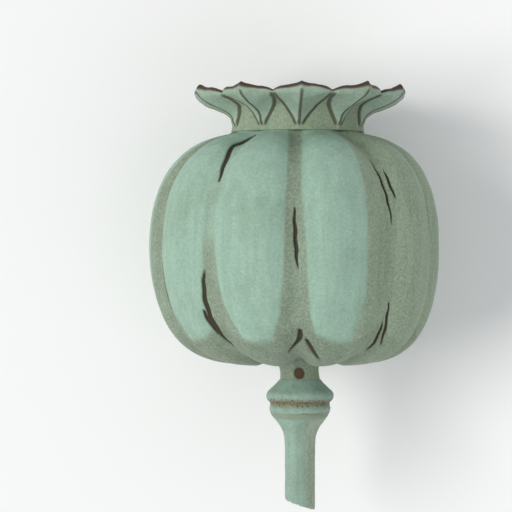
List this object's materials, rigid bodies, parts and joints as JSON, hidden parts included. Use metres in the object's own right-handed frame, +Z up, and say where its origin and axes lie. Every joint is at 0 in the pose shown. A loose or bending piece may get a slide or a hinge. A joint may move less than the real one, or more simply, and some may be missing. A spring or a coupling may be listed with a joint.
{
  "type": "poppy seed head",
  "caption": "Cut poppy seed head lying on its side: a squat ribbed pod with a pointed, rayed crown and a short stalk with its flower-scar rings.",
  "frame": {"origin": "on the surface that the head lies on, under the centre of its bounding box", "axes": "+Y along the head's axis from the cut stalk to the crown, +X to its right seen from above, +Z up"},
  "size_m": [0.05, 0.073, 0.0483],
  "materials": {
    "capsule": "matte, waxy bloom",
    "crown": "matte, velvety rays",
    "stem": "matte, waxy bloom"
  },
  "bodies": {
    "root": {"capsule": "capsule", "crown": "crown", "stem": "stem"}
  },
  "joints": []
}
